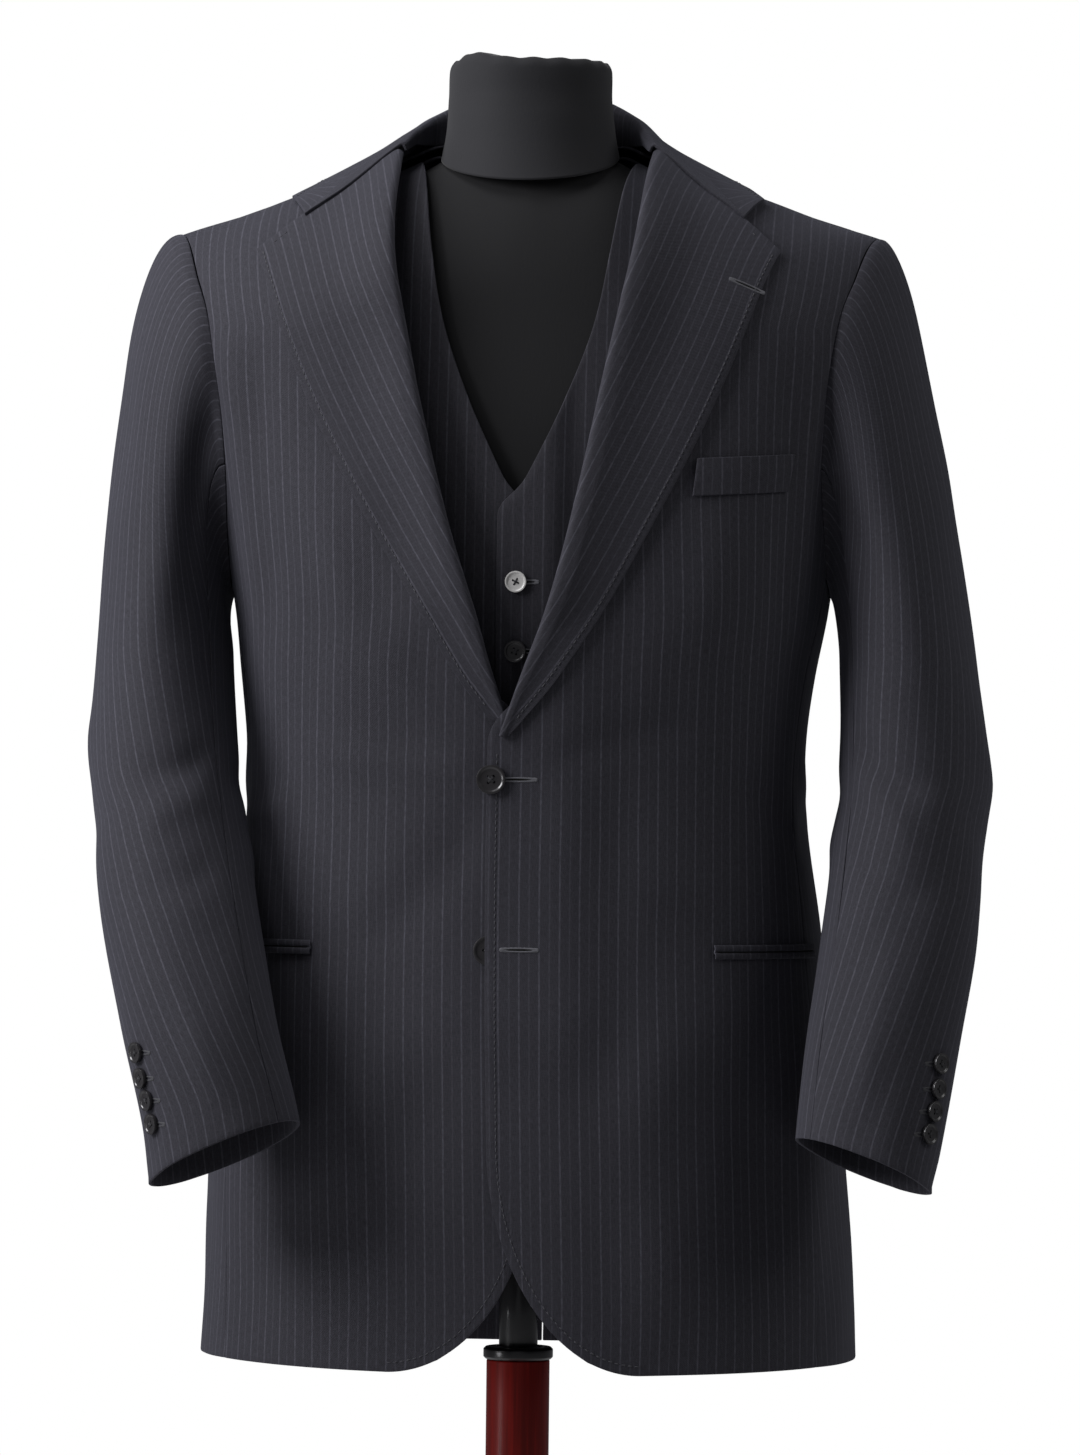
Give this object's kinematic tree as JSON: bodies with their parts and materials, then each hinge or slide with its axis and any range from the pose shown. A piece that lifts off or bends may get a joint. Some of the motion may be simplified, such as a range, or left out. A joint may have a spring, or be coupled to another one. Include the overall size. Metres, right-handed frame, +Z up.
{
  "type": "suit jacket and waistcoat on a dress form",
  "caption": "Single-breasted pinstripe suit jacket with notch lapels over a matching waistcoat, worn by a limbless dress form on a round wooden stand",
  "frame": {"origin": "on the floor, at the centre of the round base's underside, on the axis of the post", "axes": "+Z up; the wearer faces -Y, so +X is the wearer's left and the picture's right"},
  "size_m": [0.5752, 0.4042, 1.5975],
  "materials": {
    "jacket_wool": "soft worsted wool, dark charcoal with faint grey pinstripes",
    "waistcoat_wool": "soft worsted wool, dark charcoal with faint grey pinstripes",
    "jersey": "matte black stretch jersey",
    "horn": "dark semi-gloss",
    "pale_button": "pale gloss",
    "black_metal": "black semi-gloss",
    "mahogany": "red-brown gloss varnish"
  },
  "bodies": {
    "root": {"breast_welt": "jacket_wool", "collar": "jacket_wool", "cuff_button_left_1": "horn", "cuff_button_left_2": "horn", "cuff_button_left_3": "horn", "cuff_button_left_4": "horn", "cuff_button_right_1": "horn", "cuff_button_right_2": "horn", "cuff_button_right_3": "horn", "cuff_button_right_4": "horn", "form_neck": "jersey", "form_torso": "jersey", "jacket_back_left": "jacket_wool", "jacket_back_right": "jacket_wool", "jacket_button_lower": "horn", "jacket_button_upper": "horn", "jacket_front_left": "jacket_wool", "jacket_front_right": "jacket_wool", "jacket_side_left": "jacket_wool", "jacket_side_right": "jacket_wool", "lapel_left": "jacket_wool", "lapel_right": "jacket_wool", "pocket_jet_left": "jacket_wool", "pocket_jet_right": "jacket_wool", "stand_base": "mahogany", "stand_post": "mahogany", "stand_ring": "black_metal", "stand_stem": "black_metal", "top_sleeve_left": "jacket_wool", "top_sleeve_right": "jacket_wool", "under_sleeve_left": "jacket_wool", "under_sleeve_right": "jacket_wool", "waistcoat_back": "waistcoat_wool", "waistcoat_button_1": "pale_button", "waistcoat_button_2": "horn", "waistcoat_button_3": "horn", "waistcoat_button_4": "horn", "waistcoat_button_5": "horn", "waistcoat_button_6": "horn", "waistcoat_front_left": "waistcoat_wool", "waistcoat_front_right": "waistcoat_wool"}
  },
  "joints": []
}
